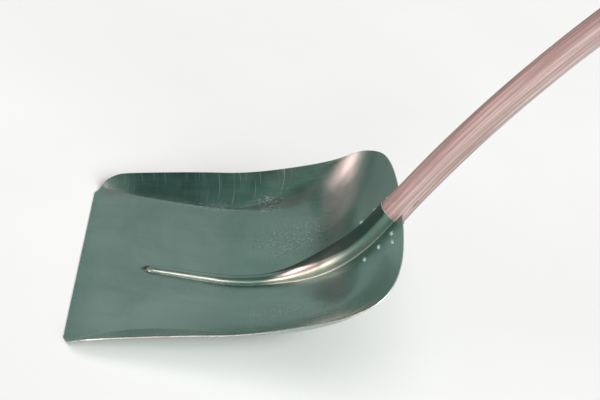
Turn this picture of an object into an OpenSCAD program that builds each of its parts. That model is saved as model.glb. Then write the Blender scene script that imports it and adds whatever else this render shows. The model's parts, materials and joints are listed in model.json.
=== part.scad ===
// Snow shovel: a pressed sheet-steel scoop with a bent wooden handle held in a riveted socket.
// The blade's cutting edge runs along Y, the handle rises towards +X and +Z, and the XZ plane
// is the mirror plane. The lowest point of the blade's underside is at z = 0.

/* [Blade outline] */
// Half width at the cutting edge, mm
edge_half = 161.5; // [120:0.5:220]
// Length of the clipped front corner along X, mm
clip_x = 12; // [4:0.5:30]
// Half width at the end of the clip, mm
clip_half = 179.1; // [120:0.5:240]
// Where the sides reach their full width, mm behind the edge
full_x = 38; // [20:0.5:80]
// Half width where the sides are widest, mm
full_half = 185.5; // [120:0.5:240]
// Where the rounded back corners start, mm behind the edge
corner_x = 333.5; // [250:0.5:380]
// Half width where the back corners start, mm
corner_half = 179.2; // [120:0.5:240]
// Outward bow of the sides, mm
side_bow = 0.2; // [0:0.1:6]
// Blade length seen from above, mm
blade_x = 397; // [300:0.5:500]
// Squareness of the back corners, 2 is an ellipse
corner_power = 3.2; // [2:0.1:5]

/* [Blade form] */
// Sheet thickness, mm
sheet = 1.5; // [1:0.1:3]
// Where the floor starts to curve up, mm behind the edge
floor_x = 177.5; // [100:0.5:260]
// Slope of the back where the handle leaves it, degrees
back_angle = 64.7; // [40:0.1:80]
// Straight stretch of the back below the rim, mm
back_straight = 40; // [20:1:80]
// Depth of the hollow across the floor, mm
dish_depth = 28; // [0:0.1:60]
// Distance over which the hollow deepens, mm
dish_run = 110; // [40:1:300]
// Half width of the floor between the side bends, mm
floor_half = 137.7; // [90:0.5:170]
// Radius of the bend between floor and side at the front, mm
bend_r = 12; // [4:0.5:60]
// Radius that the same bend grows to in the back corners, mm
bend_back = 96; // [12:1:140]
// Slope of the sides at mid length, degrees
side_angle = 32.6; // [15:0.1:70]
// How far the side bends swing out at the cutting edge, mm
crease_out = 13; // [0:0.1:30]
// How much steeper the sides are at the cutting edge, degrees
wall_up = 29.6; // [0:0.1:40]
// Distance from the edge over which both die out, mm
front_run = 46; // [20:0.1:100]
// Half width of the flat strip beside the socket, mm
flat_half = 68; // [40:1:90]

/* [Rib and socket] */
// Where the rib's blunt tip stands, mm behind the edge
rib_x = 87; // [60:0.5:150]
// Rib radius at its tip, mm
rib_tip_r = 5.5; // [3:0.1:10]
// Length of the rib's rounded tip, mm
rib_tip_run = 9; // [4:0.5:20]
// Rib radius before it opens into the socket, mm
rib_mid_r = 9; // [5:0.1:15]
// Distance from the rim down to the socket mouth, mm
mouth_d = 14.3; // [5:0.1:40]
// Distance from the rim down to the head of the rear strap, mm
strap_top = 16.5; // [3:0.5:20]
// Distance from the rim down to the foot of the rear strap, mm
strap_d = 92; // [70:1:120]
// Half width of the strap's flange, mm
flange_half = 50; // [40:0.5:60]
// Half width of the flange on the side of its upper ear, mm
ear_half = 66; // [48:0.5:75]

/* [Rivets and screw] */
// Right rivet row, distance from the mirror plane, mm
right_row_y = 39.3; // [30:0.1:45]
// Left rivet row, distance of its top rivet from the mirror plane, mm
left_top_y = 40; // [30:0.1:45]
// Left rivet row, distance of its other rivets from the mirror plane, mm
left_row_y = 44.5; // [30:0.1:45]
// Outer rivet, distance from the mirror plane, mm
rivet_out_y = 58; // [50:0.5:66]
// Rivet shank diameter, mm
rivet_d = 5; // [3:0.1:8]
// Rivet head diameter, mm
rivet_head_d = 9; // [6:0.1:14]
// Rivet head height, mm
rivet_head_h = 2.8; // [1:0.1:5]
// Screw shank diameter, mm
screw_d = 4.5; // [3:0.1:6]
// Screw length in the wood, mm
screw_len = 22; // [10:1:30]

/* [Handle] */
// Handle radius, mm
handle_r = 18.5; // [15:0.1:22]
// Total handle length along its axis, mm
handle_len = 1300; // [900:5:1600]
// Length of the bend above the rim, mm
bend_len = 439; // [200:1:600]
// Angle of the bend, degrees
bend_angle = 14.1; // [0:0.1:30]
// Depth of the handle's end below the rim, mm
seat_d = 88; // [60:1:110]

/* [Hidden] */
$fn = 96;
eps = 0.01;

// Back profile: flat floor, an arc, then a straight stretch up to the rim
arc_end_x = blade_x - back_straight * cos(back_angle);
back_r = (arc_end_x - floor_x) / sin(back_angle);
arc_end_z = back_r * (1 - cos(back_angle));
rim_z = arc_end_z + back_straight * sin(back_angle);

// Handle: the free end's position, for centring the whole on the origin
bend_r_big = bend_len / bend_angle * 180 / PI;
free_angle = back_angle - bend_angle;
bend_out_x = blade_x + bend_r_big * (sin(back_angle) - sin(free_angle));
bend_out_z = rim_z + bend_r_big * (cos(free_angle) - cos(back_angle));
free_len = handle_len - seat_d - bend_len - handle_r;
end_x = bend_out_x + free_len * cos(free_angle);
shift_x = -(end_x + handle_r) / 2;
socket_r = handle_r + sheet;
rib_r_in = socket_r + 0.15;

// Rivets: [distance below the rim, across from the mirror plane]
left_rivets = [[21.5, left_top_y], [48, left_row_y], [74.5, left_row_y]];
right_rivets = concat([for (d = [21.5, 48, 74.5]) [d, -right_row_y]], [[21.5, -rivet_out_y]]);
screw_at = 60;

// ---------------------------------------------------------------- helpers
function clamp01(t) = max(0, min(1, t));
function smooth(t) = let (k = clamp01(t)) k * k * (3 - 2 * k);
function mix(a, b, t) = a + (b - a) * t;
function unit(v) = v / norm(v);

// ---------------------------------------------------------------- blade surface
function back_z(x) =
    x <= floor_x ? 0 :
    x <= arc_end_x ? back_r - sqrt(back_r * back_r - (x - floor_x) * (x - floor_x)) :
    arc_end_z + (x - arc_end_x) * tan(back_angle);
function back_a(x) =
    x <= floor_x ? 0 :
    x <= arc_end_x ? asin((x - floor_x) / back_r) :
    back_angle;

// Where the lines of floor and side would cross, and the slope of the side there
function crease_y(x) = let (s = (x - 160) / 100)
    floor_half - 1.5 * s + 8.6 * s * s + crease_out * exp(-x / front_run);
function wall_a(x) = let (s = (x - 160) / 100)
    side_angle + 12.9 * s + 0.9 * s * s + wall_up * exp(-x / front_run);
function bend_at(x) = mix(bend_r, bend_back, smooth((x - 190) / 130));
function dish_z(x) = dish_depth * (1 - exp(-x / dish_run));
function flat_y(x) = flat_half * smooth((x - 240) / 90);

// Half section of the hollow: [half width of the flat, hollow's full width, depth, bend radius,
// slope of the side, slope where the bend starts, half width where it starts, width of the bend]
function section_at(x) =
    let (b = crease_y(x),
         f = flat_y(x),
         d = dish_z(x),
         r = bend_at(x),
         a0 = atan(2 * d / (b - f)),
         a1 = max(wall_a(x), a0 + 0.1),
         back_off = r * tan((a1 - a0) / 2) * cos(a0),
         a_start = atan(2 * d * (1 - back_off / (b - f)) / (b - f)))
    [f, b - f, d, r, a1, a_start, b - back_off, r * (sin(a1) - sin(a_start))];

function side_z(x, y) =
    let (q = section_at(x),
         ay = abs(y),
         over = max(ay - q[6], 0),
         arc = min(over, q[7]),
         k = max(0, min(ay, q[6]) - q[0]) / q[1])
    q[2] * k * k
    + q[3] * cos(q[5]) - sqrt(q[3] * q[3] - pow(q[3] * sin(q[5]) + arc, 2))
    + tan(q[4]) * max(over - q[7], 0);

function top(x, y) = [x, y, back_z(x) + side_z(x, y)];

// ---------------------------------------------------------------- blade outline
function side_half(x) =
    x <= clip_x ? mix(edge_half, clip_half, x / clip_x) :
    x <= full_x ? let (t = (x - clip_x) / (full_x - clip_x))
                  mix(clip_half, full_half, 1 - (1 - t) * (1 - t)) :
    let (t = (x - full_x) / (corner_x - full_x))
    mix(full_half, corner_half, t) + side_bow * 4 * t * (1 - t);
function corner_pt(a) = [
    corner_x + (blade_x - corner_x) * pow(sin(a), 2 / corner_power),
    corner_half * pow(cos(a), 2 / corner_power)];

// ---------------------------------------------------------------- rib
function rib_r(x) = x < 240
    ? mix(rib_tip_r, rib_mid_r, clamp01((x - rib_x) / (240 - rib_x)))
    : mix(rib_mid_r, rib_r_in, smooth((x - 240) / 105));
function rib_k(x) = let (t = clamp01((x - rib_x) / rib_tip_run)) sqrt(max(0, 1 - (1 - t) * (1 - t)));
// Width of the section's columns: drawn in towards the rounded tip, full elsewhere
function rib_w(x) = x < rib_x ? mix(1, 0.3, smooth((x - rib_x + 24) / 22)) : mix(0.3, 1, rib_k(x));

// Half section of the rib for radius 1, crest first: half round, then a small root fillet
root_q = 0.12;
root_y = sqrt(1 + 2 * root_q);
root_a = atan(root_q / root_y);
rib_section = concat(
    [for (i = [0:8]) let (a = 90 - (90 - root_a) * i / 8) [cos(a), sin(a)]],
    [for (i = [1:2]) let (a = 180 + root_a + (90 - root_a) * i / 2)
        [root_y + root_q * cos(a), root_q + root_q * sin(a)]]);

// ---------------------------------------------------------------- grid
fan_x = 262;
split_a = 50;
front_xs = [0, 4, 8, 12, 18, 25, 32, 38, 50, 63, 75, 84.5, 87, 87.6, 88.7, 90.4, 92.8, 96, 103, 114,
            128, 142, 156, 170, 184, 198, 211, 224, 237, 250];
fan_n = 17;
rows = concat([for (x = front_xs) [x, -1]], [for (i = [0:fan_n]) [mix(fan_x, blade_x, i / fan_n), i / fan_n]]);

function root_at(x) = root_y * rib_r(x) * rib_w(x);
function outer_pt(r) = r[1] < 0 ? [r[0], side_half(r[0])]
    : r[1] <= 0.5 ? let (x = mix(fan_x, corner_x, r[1] * 2)) [x, side_half(x)]
    : corner_pt(split_a * pow((r[1] - 0.5) * 2, 1.5));
end_pt = corner_pt(split_a);
function rim_pt(v) =
    let (y = mix(root_at(blade_x), end_pt[1], v), q = pow(y / corner_half, corner_power))
    [corner_x + (blade_x - corner_x) * pow(1 - q, 1 / corner_power), y];
function row_bulge(r, v) = r[1] <= 0 ? [0, 0]
    : (rim_pt(v) - mix(rim_pt(0), rim_pt(1), v)) * pow(r[1], 3);

// Column positions outside the rib: the floor, the bend, then the side
function row_vs(r) =
    let (o = outer_pt(r), i = root_at(r[0]), q = section_at(mix(r[0], o[0], 0.8)),
         v1 = max(0.4, min(0.93, (q[6] - i) / (o[1] - i))),
         v2 = max(v1 + 0.02, min(0.97, (q[6] + q[7] - i) / (o[1] - i))))
    concat([for (i = [1:6]) v1 * i / 6], [for (i = [1:4]) mix(v1, v2, i / 4)],
           [for (i = [1:2]) mix(v2, 1, i / 2)]);
function plan_pt(r, v) = let (p = mix([r[0], root_at(r[0])], outer_pt(r), v) + row_bulge(r, v))
    v > 0.999 && r[1] < 0 ? outer_pt(r) : p;

function rib_pt(r, s) =
    let (x = r[0], a = back_a(x), h = rib_r(x) * rib_k(x) * s[1])
    top(x, rib_r(x) * rib_w(x) * s[0]) + h * [-sin(a), 0, cos(a)];
function half_row(r) = concat(
    [for (s = rib_section) rib_pt(r, s)],
    [for (v = row_vs(r)) let (p = plan_pt(r, v)) top(p[0], p[1])]);
function flip(p) = [p[0], -p[1], p[2]];
function full_row(h) = concat([for (j = [len(h) - 1:-1:1]) flip(h[j])], h);
upper = [for (r = rows) full_row(half_row(r))];
nr = len(upper);
nc = len(upper[0]);
function normal_at(i, j) =
    let (du = upper[min(i + 1, nr - 1)][j] - upper[max(i - 1, 0)][j],
         dv = upper[i][min(j + 1, nc - 1)] - upper[i][max(j - 1, 0)])
    unit(cross(du, dv));
lower = [for (i = [0:nr - 1]) [for (j = [0:nc - 1]) upper[i][j] - sheet * normal_at(i, j)]];

function flat_list(g) = [for (r = g) for (p = r) p];
function at(i, j) = i * nc + j;
off = nr * nc;
shell_faces = concat(
    [for (i = [0:nr - 2]) for (j = [0:nc - 2]) [at(i, j), at(i, j + 1), at(i + 1, j + 1)]],
    [for (i = [0:nr - 2]) for (j = [0:nc - 2]) [at(i, j), at(i + 1, j + 1), at(i + 1, j)]],
    [for (i = [0:nr - 2]) for (j = [0:nc - 2])
        [off + at(i, j), off + at(i + 1, j + 1), off + at(i, j + 1)]],
    [for (i = [0:nr - 2]) for (j = [0:nc - 2])
        [off + at(i, j), off + at(i + 1, j), off + at(i + 1, j + 1)]],
    [for (j = [0:nc - 2]) [at(0, j), off + at(0, j), at(0, j + 1)]],
    [for (j = [0:nc - 2]) [at(0, j + 1), off + at(0, j), off + at(0, j + 1)]],
    [for (j = [0:nc - 2]) [at(nr - 1, j), at(nr - 1, j + 1), off + at(nr - 1, j)]],
    [for (j = [0:nc - 2]) [at(nr - 1, j + 1), off + at(nr - 1, j + 1), off + at(nr - 1, j)]],
    [for (i = [0:nr - 2]) [at(i, 0), at(i + 1, 0), off + at(i, 0)]],
    [for (i = [0:nr - 2]) [at(i + 1, 0), off + at(i + 1, 0), off + at(i, 0)]],
    [for (i = [0:nr - 2]) [at(i, nc - 1), off + at(i, nc - 1), at(i + 1, nc - 1)]],
    [for (i = [0:nr - 2]) [at(i + 1, nc - 1), off + at(i, nc - 1), off + at(i + 1, nc - 1)]]);

// ---------------------------------------------------------------- stations along the back
// d is the distance below the rim along the back; local X runs up the back, local Z is its normal
module station(d) {
    a = d <= back_straight ? back_angle : back_angle - (d - back_straight) / back_r * 180 / PI;
    p = d <= back_straight
        ? [blade_x - d * cos(a), 0, rim_z - d * sin(a)]
        : [floor_x + back_r * sin(a), 0, back_r * (1 - cos(a))];
    translate(p)
        rotate([0, -a, 0])
            children();
}

// Sweeps a section drawn as [across, normal] down the straight stretch from d0 to d1
module sweep_straight(d0, d1) {
    station(d1)
        rotate([90, 0, 90])
            linear_extrude(d1 - d0)
                children();
}

// Sweeps a section drawn as [across, normal] down the arc from d0 to d1
module sweep_arc(d0, d1) {
    a0 = back_angle - (d0 - back_straight) / back_r * 180 / PI;
    a1 = back_angle - (d1 - back_straight) / back_r * 180 / PI;
    translate([floor_x, 0, back_r])
        rotate([90, 0, 0])
            rotate([0, 0, a1 - 90])
                rotate_extrude(angle = a0 - a1)
                    translate([back_r, 0])
                        rotate(90)
                            children();
}

module placed() {
    translate([shift_x, 0, sheet])
        children();
}

// ---------------------------------------------------------------- parts
module blade() {
    color([0.36, 0.46, 0.43])
        placed()
            difference() {
                polyhedron(points = concat(flat_list(upper), flat_list(lower)), faces = shell_faces);
                station(mouth_d)
                    translate([0, -socket_r * 1.125, -8])
                        cube([mouth_d + 12, socket_r * 2.25, socket_r + 16]);
                for (r = concat(left_rivets, right_rivets))
                    station(r[0])
                        translate([0, r[1], -6])
                            cylinder(d = rivet_d, h = 12, $fn = 32);
            }
}

// g is the hair by which the arc stretch is thinner than the straight one on each face
module strap_section(g) {
    difference() {
        union() {
            intersection() {
                circle(r = socket_r - g);
                translate([-30, -40])
                    square([60, 40 - sheet - g]);
            }
            translate([-flange_half + g, -2 * sheet + g])
                square([2 * (flange_half - g), sheet - 2 * g]);
        }
        circle(r = handle_r + g);
    }
}

module ear_section() {
    translate([1 - (flange_half + ear_half) / 2, -1.5 * sheet])
        square([ear_half - flange_half + 2, sheet], center = true);
}

module socket_strap() {
    color([0.34, 0.43, 0.41])
        placed()
            difference() {
                union() {
                    sweep_straight(strap_top, back_straight)
                        strap_section(0);
                    sweep_arc(back_straight - 0.5, strap_d)
                        strap_section(0.05);
                    sweep_straight(strap_top + 0.2, 34)
                        ear_section();
                }
                for (r = concat(left_rivets, right_rivets))
                    station(r[0])
                        translate([0, r[1], -6])
                            cylinder(d = rivet_d, h = 12, $fn = 32);
                station(screw_at)
                    translate([0, 0, -socket_r - 5])
                        cylinder(d = screw_d, h = 12, $fn = 32);
            }
}

// The seat, the bend and the free stretch step by a hair in radius where they join
module handle_free() {
    translate([bend_out_x, 0, bend_out_z])
        rotate([0, 90 - free_angle, 0])
            translate([0, 0, -0.5])
                rotate_extrude() {
                    square([handle_r, free_len + 0.5]);
                    translate([0, free_len + 0.5])
                        intersection() {
                            circle(r = handle_r);
                            square([handle_r, handle_r]);
                        }
                }
}

module handle_bend() {
    translate([blade_x + bend_r_big * sin(back_angle), 0, rim_z - bend_r_big * cos(back_angle)])
        rotate([90, 0, 0])
            rotate([0, 0, 90 + free_angle])
                rotate_extrude(angle = bend_angle)
                    translate([bend_r_big, 0])
                        circle(r = handle_r + 0.1);
}

module handle() {
    color([0.72, 0.62, 0.55])
        placed()
            difference() {
                union() {
                    sweep_arc(back_straight - 0.5, seat_d)
                        circle(r = handle_r - 0.1);
                    sweep_straight(-0.5, back_straight)
                        circle(r = handle_r);
                    handle_bend();
                    handle_free();
                }
                station(screw_at)
                    translate([0, 0, -handle_r - 1])
                        cylinder(d = screw_d, h = screw_len + 1, $fn = 32);
            }
}

module handle_screw() {
    color([0.55, 0.56, 0.55])
        placed()
            station(screw_at)
                translate([0, 0, -socket_r]) {
                    cylinder(d = screw_d, h = screw_len + sheet - 0.5, $fn = 32);
                    intersection() {
                        translate([0, 0, 3.6])
                            sphere(r = 6, $fn = 48);
                        translate([0, 0, -5])
                            cylinder(r = 8, h = 5, $fn = 48);
                    }
                }
}

// Cap of a sphere standing on the plane z = 0
module round_head(d, h) {
    r = (d * d / 4 + h * h) / (2 * h);
    intersection() {
        translate([0, 0, h - r])
            sphere(r = r, $fn = 48);
        cylinder(r = d, h = h + 1, $fn = 48);
    }
}

module rivet(at) {
    color([0.52, 0.56, 0.54])
        placed()
            station(at[0])
                translate([0, at[1], 0]) {
                    translate([0, 0, -2 * sheet - 0.02])
                        cylinder(d = rivet_d, h = 2 * sheet + 0.1, $fn = 32);
                    translate([0, 0, 0.05])
                        round_head(rivet_head_d, rivet_head_h);
                    translate([0, 0, -2 * sheet])
                        mirror([0, 0, 1])
                            round_head(rivet_head_d, 1.8);
                }
}

module rivet_left_1() { rivet(left_rivets[0]); }
module rivet_left_2() { rivet(left_rivets[1]); }
module rivet_left_3() { rivet(left_rivets[2]); }
module rivet_right_1() { rivet(right_rivets[0]); }
module rivet_right_2() { rivet(right_rivets[1]); }
module rivet_right_3() { rivet(right_rivets[2]); }
module rivet_right_4() { rivet(right_rivets[3]); }

blade();
socket_strap();
handle();
handle_screw();
rivet_left_1();
rivet_left_2();
rivet_left_3();
rivet_right_1();
rivet_right_2();
rivet_right_3();
rivet_right_4();
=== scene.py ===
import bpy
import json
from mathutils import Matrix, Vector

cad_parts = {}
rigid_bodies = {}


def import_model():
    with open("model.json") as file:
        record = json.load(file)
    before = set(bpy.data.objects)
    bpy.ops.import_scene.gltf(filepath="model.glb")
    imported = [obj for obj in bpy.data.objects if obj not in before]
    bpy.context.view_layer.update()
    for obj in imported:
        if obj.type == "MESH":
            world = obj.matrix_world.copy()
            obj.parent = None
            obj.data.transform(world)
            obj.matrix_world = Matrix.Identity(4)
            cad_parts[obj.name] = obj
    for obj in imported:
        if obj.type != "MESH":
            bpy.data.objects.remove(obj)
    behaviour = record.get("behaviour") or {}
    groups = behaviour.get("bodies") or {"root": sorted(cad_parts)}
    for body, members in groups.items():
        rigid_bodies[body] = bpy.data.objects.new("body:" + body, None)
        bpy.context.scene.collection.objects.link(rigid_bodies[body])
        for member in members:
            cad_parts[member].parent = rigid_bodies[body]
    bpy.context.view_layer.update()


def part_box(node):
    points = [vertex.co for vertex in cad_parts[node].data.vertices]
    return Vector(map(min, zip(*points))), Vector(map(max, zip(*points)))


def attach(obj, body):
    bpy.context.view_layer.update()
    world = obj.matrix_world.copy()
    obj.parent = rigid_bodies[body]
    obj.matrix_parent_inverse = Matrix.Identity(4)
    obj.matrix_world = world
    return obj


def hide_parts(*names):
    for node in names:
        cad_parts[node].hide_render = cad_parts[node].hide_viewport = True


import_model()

import json
import math

import bpy
import numpy as np
from mathutils import Matrix, Vector, kdtree

MM = 0.001
RNG = np.random.default_rng(20)

# ------------------------------------------------------------------ sizes in mm, as in the CAD
# x runs back from the cutting edge to the rim, y across, and d down the back's slope from the rim
SHEET = 1.5
# Outline in plan: edge, clipped front corner, widest place, rounded back corner and rim
EDGE_HALF, CLIP_X, CLIP_HALF = 161.5, 12.0, 179.1
FULL_X, FULL_HALF, SIDE_BOW = 38.0, 185.5, 0.2
CORNER_X, CORNER_HALF, CORNER_POWER, BLADE_X = 333.5, 179.2, 3.2, 397.0
# Lengthwise: level floor, arc and straight back
FLOOR_X, BACK_ANGLE, BACK_STRAIGHT = 177.5, math.radians(64.7), 40.0
# Across: dish, side bend and side wall, each changing with x about MID_X
MID_X, MID_RUN = 160.0, 100.0
DISH_DEPTH, DISH_RUN = 28.0, 110.0
FLAT_HALF, FLAT_X, FLAT_RUN = 68.0, 240.0, 90.0
BEND_R, BEND_BACK, BEND_X, BEND_RUN = 12.0, 96.0, 190.0, 130.0
CREASE_HALF, CREASE_TURN, CREASE_CURVE, CREASE_OUT = 137.7, -1.5, 8.6, 13.0
WALL_ANGLE, WALL_TURN, WALL_CURVE, WALL_UP, FRONT_RUN = 32.6, 12.9, 0.9, 29.6, 46.0
# Rib: radius at its tip, middle and back end; the toe that runs out into the sheet, and the rib's
# half width at its foot with that toe, both in rib radii
RIB_X, RIB_TIP_R, RIB_TIP_RUN, RIB_MID_X, RIB_MID_R = 87.0, 5.5, 9.0, 240.0, 9.0
RIB_IN_R, RIB_IN_RUN, RIB_TOE, RIB_FOOT = 20.15, 105.0, 0.12, 1.1136
# Socket and strap, measured down the back from the rim
MOUTH_D, SEAT_D, SCREW_D = 14.3, 88.0, 60.0
STRAP_TOP, STRAP_TOP_R, STRAP_END, STRAP_END_R = 16.5, 3.0, 92.0, 10.0
STRAP_HALF, STRAP_FILLET, STRAP_LIP, STRAP_ROUND = 50.0, 3.0, 0.7, 0.35
EAR_MID, EAR_RUN, EAR_OUT, EAR_POWER = 25.3, 8.7, 16.0, 5
# Handle
HANDLE_R, HANDLE_LEN, BEND_LEN = 18.5, 1300.0, 439.0
BEND_ANGLE = math.radians(14.1)
# Rivets as (d, y), and the sizes of their heads and of the screw's head
RIVETS = {"left": [(21.5, 40.0), (48.0, 44.5), (74.5, 44.5)],
          "right": [(21.5, -39.3), (48.0, -39.3), (74.5, -39.3), (21.5, -58.0)]}
DOME_R, DOME_HIGH, DOME_FLAT, TAIL_HIGH, SHANK_R = 4.46, 2.78, 2.72, 1.76, 2.5
SCREW_R, SCREW_HIGH = 4.75, 2.35

# Mesh of the blade: rows fan out to the back corner from FAN_X on, as far as FAN_DEG round it.
# Columns on each side run from the rib to the side bend, over the bend, and on to the side
FAN_X, FAN_DEG, FAN_ROWS = 262.0, 50, 78
COLUMNS = (34, 14, 14)
QUARTER = math.pi / 2

ARC_END_X = BLADE_X - BACK_STRAIGHT * math.cos(BACK_ANGLE)
BACK_R = (ARC_END_X - FLOOR_X) / math.sin(BACK_ANGLE)
ARC_END_Z = BACK_R * (1 - math.cos(BACK_ANGLE))
RIM_Z = ARC_END_Z + BACK_STRAIGHT * math.sin(BACK_ANGLE)

blade_lo, blade_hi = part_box("blade")
ORIGIN = np.array([blade_lo.x / MM, 0.0, blade_lo.z / MM + SHEET])


def to_row(points):
    """From the CAD's own millimetres to the frame's metres."""
    return (np.asarray(points, float) + ORIGIN) * MM


def smooth(t):
    t = np.clip(t, 0, 1)
    return t * t * (3 - 2 * t)


def rise(v, start, run):
    """Eases from 0 at start to 1 one run later."""
    return smooth((v - start) / run)


def fall(v, end, run):
    """Eases from 1, one run before the end, to 0 at the end."""
    return smooth((end - v) / run)


def hump(v, middle, run):
    """A bell of height 1 about the middle."""
    return np.exp(-((v - middle) / run)**2)


def mix(a, b, t):
    return a + (b - a) * t


def unit(v):
    return v / np.maximum(np.linalg.norm(v, axis=-1, keepdims=True), 1e-12)


def back_z(x):
    """Height of the blade's middle at x."""
    run = np.clip(x - FLOOR_X, 0, ARC_END_X - FLOOR_X)
    return BACK_R - np.sqrt(BACK_R**2 - run**2) + np.maximum(x - ARC_END_X, 0) * math.tan(BACK_ANGLE)


def back_a(x):
    """Slope of the blade's middle at x."""
    return np.arcsin(np.clip(x - FLOOR_X, 0, ARC_END_X - FLOOR_X) / BACK_R)


def crease_y(x):
    s = (x - MID_X) / MID_RUN
    return CREASE_HALF + CREASE_TURN * s + CREASE_CURVE * s * s + CREASE_OUT * np.exp(-x / FRONT_RUN)


def section_at(x):
    """Half section of the hollow at x, as in the CAD: flat half width, width and depth of the dish, radius
    of the side bend, slopes of the wall and at the bend's start, and where the bend starts and its run."""
    s = (x - MID_X) / MID_RUN
    b, f = crease_y(x), FLAT_HALF * rise(x, FLAT_X, FLAT_RUN)
    d = DISH_DEPTH * (1 - np.exp(-x / DISH_RUN))
    r = mix(BEND_R, BEND_BACK, rise(x, BEND_X, BEND_RUN))
    a0 = np.arctan(2 * d / (b - f))
    wall = WALL_ANGLE + WALL_TURN * s + WALL_CURVE * s * s + WALL_UP * np.exp(-x / FRONT_RUN)
    a1 = np.maximum(np.radians(wall), a0 + 0.002)
    back_off = r * np.tan((a1 - a0) / 2) * np.cos(a0)
    a_start = np.arctan(2 * d * (1 - back_off / (b - f)) / (b - f))
    return f, b - f, d, r, a1, a_start, b - back_off, r * (np.sin(a1) - np.sin(a_start))


def side_z(x, y):
    """Height of the section at y above its middle: dish, side bend and straight wall."""
    f, width, d, r, a1, a_start, start, run = section_at(x)
    ay = np.abs(y)
    over = np.maximum(ay - start, 0)
    arc = np.minimum(over, run)
    k = np.maximum(0, np.minimum(ay, start) - f) / width
    return (d * k * k + r * np.cos(a_start) - np.sqrt(r**2 - (r * np.sin(a_start) + arc)**2)
            + np.tan(a1) * np.maximum(over - run, 0))


def top(x, y):
    """Points on the upper face of the plain plate, without the rib."""
    return np.stack([x, y, back_z(x) + side_z(x, y)], -1)


def side_half(x):
    if x <= CLIP_X:
        return mix(EDGE_HALF, CLIP_HALF, x / CLIP_X)
    if x <= FULL_X:
        t = (x - CLIP_X) / (FULL_X - CLIP_X)
        return mix(CLIP_HALF, FULL_HALF, 1 - (1 - t)**2)
    t = (x - FULL_X) / (CORNER_X - FULL_X)
    return mix(FULL_HALF, CORNER_HALF, t) + SIDE_BOW * 4 * t * (1 - t)


def corner_pt(deg):
    """Plan point on the back corner, that many degrees round it from the side."""
    a = math.radians(deg)
    return np.array([CORNER_X + (BLADE_X - CORNER_X) * math.sin(a)**(2 / CORNER_POWER),
                     CORNER_HALF * math.cos(a)**(2 / CORNER_POWER)])


def rim_points(y):
    """Plan points on the rim at those distances from the middle."""
    y = np.asarray(y, float)
    q = np.clip((y / CORNER_HALF)**CORNER_POWER, 0, 1)
    return np.stack([CORNER_X + (BLADE_X - CORNER_X) * (1 - q)**(1 / CORNER_POWER), y], -1)


def rib_r(x):
    tip = mix(RIB_TIP_R, RIB_MID_R, np.clip((x - RIB_X) / (RIB_MID_X - RIB_X), 0, 1))
    return np.where(x < RIB_MID_X, tip, mix(RIB_MID_R, RIB_IN_R, rise(x, RIB_MID_X, RIB_IN_RUN)))


def rib_k(x):
    """Height of the rib as a share of its radius: 0 at the tip, 1 once the tip is rounded off."""
    t = np.clip((x - RIB_X) / RIB_TIP_RUN, 0, 1)
    return np.sqrt(np.maximum(0, 1 - (1 - t)**2))


def rib_w(x):
    """Width of the rib's columns: drawn in towards the rounded tip, full elsewhere."""
    drawn = 0.3
    return np.where(x < RIB_X, mix(1, drawn, rise(x, RIB_X - 24, 22)), mix(drawn, 1, rib_k(x)))


def station(d):
    """Point on the back's centreline d below the rim, with its up-slope and normal directions."""
    if d <= BACK_STRAIGHT:
        a = BACK_ANGLE
        p = np.array([BLADE_X - d * math.cos(a), 0, RIM_Z - d * math.sin(a)])
    else:
        a = BACK_ANGLE - (d - BACK_STRAIGHT) / BACK_R
        p = np.array([FLOOR_X + BACK_R * math.sin(a), 0, BACK_R * (1 - math.cos(a))])
    return p, np.array([math.cos(a), 0, math.sin(a)]), np.array([-math.sin(a), 0, math.cos(a)])


def waves(x, y, low, high, count=18):
    """Smooth random field of unit size from sine waves between two wavelengths, mm."""
    total = np.zeros(np.broadcast(x, y).shape)
    for _ in range(count):
        k = 2 * math.pi / RNG.uniform(low, high)
        turn, phase = RNG.uniform(0, 2 * math.pi, 2)
        total += np.sin(k * (x * math.cos(turn) + y * math.sin(turn)) + phase)
    return total / math.sqrt(count)


# ------------------------------------------------------------------ mesh helpers
def make_object(name, points, faces, normals=None, fields=None, smooth_faces=True):
    """A new object from points in mm, with each field stored as a point attribute for the materials."""
    mesh = bpy.data.meshes.new(name)
    mesh.from_pydata(to_row(points).tolist(), [], [list(map(int, f)) for f in faces])
    mesh.validate()
    mesh.polygons.foreach_set("use_smooth", [smooth_faces] * len(mesh.polygons))
    for key, values in (fields or {}).items():
        values = np.asarray(values, np.float32)
        kind, prop = ("FLOAT_VECTOR", "vector") if values.ndim == 2 else ("FLOAT", "value")
        mesh.attributes.new(key, kind, "POINT").data.foreach_set(prop, values.ravel())
    if normals is not None:
        mesh.normals_split_custom_set_from_vertices(np.asarray(normals, float).tolist())
    obj = bpy.data.objects.new(name, mesh)
    bpy.context.scene.collection.objects.link(obj)
    return obj


def grid_normals(points, faces):
    n = np.zeros_like(points)
    a, b, c, d = (points[faces[:, k]] for k in range(4))
    fn = np.cross(c - a, d - b)
    for k in range(4):
        np.add.at(n, faces[:, k], fn)
    return unit(n)


def boundary_loop(faces):
    """The point numbers round the one open edge of a mesh of quads, in order."""
    a = faces.ravel()
    b = np.roll(faces, -1, axis=1).ravel()
    size = faces.max() + 1
    free = ~np.isin(a * size + b, b * size + a)
    follow = dict(zip(a[free].tolist(), b[free].tolist()))
    start = next(iter(follow))
    loop, at = [start], follow[start]
    while at != start:
        loop.append(at)
        at = follow[at]
    assert len(loop) == len(follow)
    return np.array(loop)


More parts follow.
